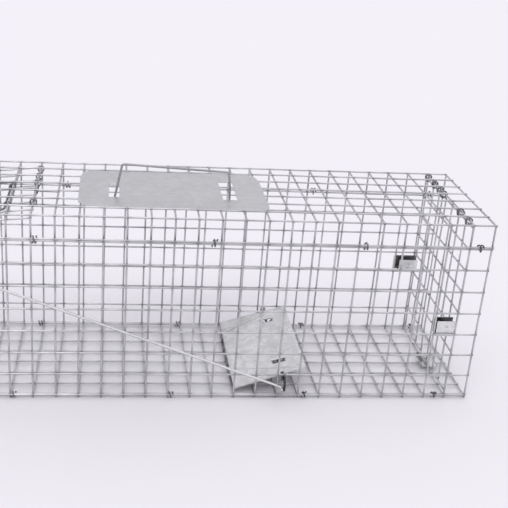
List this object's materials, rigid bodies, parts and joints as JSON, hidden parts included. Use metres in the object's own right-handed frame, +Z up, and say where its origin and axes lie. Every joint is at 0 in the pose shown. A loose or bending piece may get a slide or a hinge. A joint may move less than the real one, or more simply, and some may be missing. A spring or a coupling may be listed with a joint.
{
  "type": "live catch trap",
  "caption": "Welded-wire cage trap with a hinged drop door and lock bar, a treadle pan linked to an outside trigger rod, a swing-out rear panel and a carrying handle on a top plate.",
  "frame": {"origin": "under the middle of the whole part, at the level of the cut wire ends it stands on", "axes": "+X along the cage from the front door end to the rear panel, +Y from the trigger rod side to the far side, +Z up"},
  "size_m": [0.7378, 0.1948, 0.2609],
  "materials": {
    "wire": "galvanised welded wire, satin",
    "sheet": "galvanised sheet with faint spangle",
    "rod": "bright drawn wire",
    "ring": "galvanised hog ring",
    "spring": "oiled spring steel"
  },
  "bodies": {
    "cage": {"near_wall": "wire", "far_wall": "wire", "floor_panel": "wire", "top_panel": "wire", "handle_plate": "sheet", "bracket_near": "sheet", "bracket_far": "sheet", "bracket_floor": "sheet", "axle_hanger_near": "sheet", "axle_hanger_far": "sheet", "lock_ring_near": "ring", "lock_ring_far": "ring", "rod_guide_ring": "ring", "near_seam_ring_1": "ring", "near_seam_ring_2": "ring", "near_seam_ring_3": "ring", "near_seam_ring_4": "ring", "near_seam_ring_5": "ring", "far_seam_ring_1": "ring", "far_seam_ring_2": "ring", "far_seam_ring_3": "ring", "far_seam_ring_4": "ring", "far_seam_ring_5": "ring", "near_foot_ring_1": "ring", "near_foot_ring_2": "ring", "near_foot_ring_3": "ring", "near_foot_ring_4": "ring", "near_foot_ring_5": "ring", "far_foot_ring_1": "ring", "far_foot_ring_2": "ring", "far_foot_ring_3": "ring", "far_foot_ring_4": "ring", "far_foot_ring_5": "ring", "door_hinge_ring_1": "ring", "door_hinge_ring_2": "ring", "door_hinge_ring_3": "ring", "door_hinge_ring_4": "ring"},
    "front_door": {"front_door": "wire", "door_spring": "spring"},
    "lock_bar": {"lock_bar": "rod"},
    "treadle": {"treadle_pan": "sheet", "treadle_axle": "rod"},
    "trigger_rod": {"trigger_rod": "rod"},
    "rear_panel": {"rear_panel": "wire", "rear_hinge_ring_1": "ring", "rear_hinge_ring_2": "ring", "rear_hinge_ring_3": "ring", "rear_hinge_ring_4": "ring", "rear_hinge_ring_5": "ring", "rear_hinge_ring_6": "ring"},
    "handle_bail": {"handle_bail": "rod"}
  },
  "joints": [
    {"name": "door_swing", "type": "hinge", "parent": "cage", "child": "front_door", "pos_m": [-0.14027, 0.003, 0.218], "axis": [0, -1, 0], "range_deg": [0, 61.8], "deforming": ["door_spring"]},
    {"name": "lock_swing", "type": "hinge", "parent": "cage", "child": "lock_bar", "pos_m": [-0.16907, -0.01884, 0.21885], "axis": [0, -1, 0], "range_deg": [0, 71]},
    {"name": "pan_tilt", "type": "hinge", "parent": "cage", "child": "treadle", "pos_m": [0.14624, 0.003, 0.026], "axis": [0, 1, 0], "range_deg": [0, 14]},
    {"name": "trigger_slide", "type": "slide", "parent": "cage", "child": "trigger_rod", "axis": [-0.9338, 0, 0.3577], "range_m": [0, 0.0032]},
    {"name": "rear_swing", "type": "hinge", "parent": "cage", "child": "rear_panel", "pos_m": [0.34233, 0.003, 0.2216], "axis": [0, -1, 0], "range_deg": [0, 50]},
    {"name": "handle_swing", "type": "hinge", "parent": "cage", "child": "handle_bail", "pos_m": [0.01213, -0.0224, 0.2186], "axis": [1, 0, 0], "range_deg": [-60, 30]}
  ],
  "couplings": [
    {"joint": "lock_swing", "follows": "door_swing", "ratio": 1.14},
    {"joint": "trigger_slide", "follows": "pan_tilt", "m_per_rad": 0.012}
  ]
}
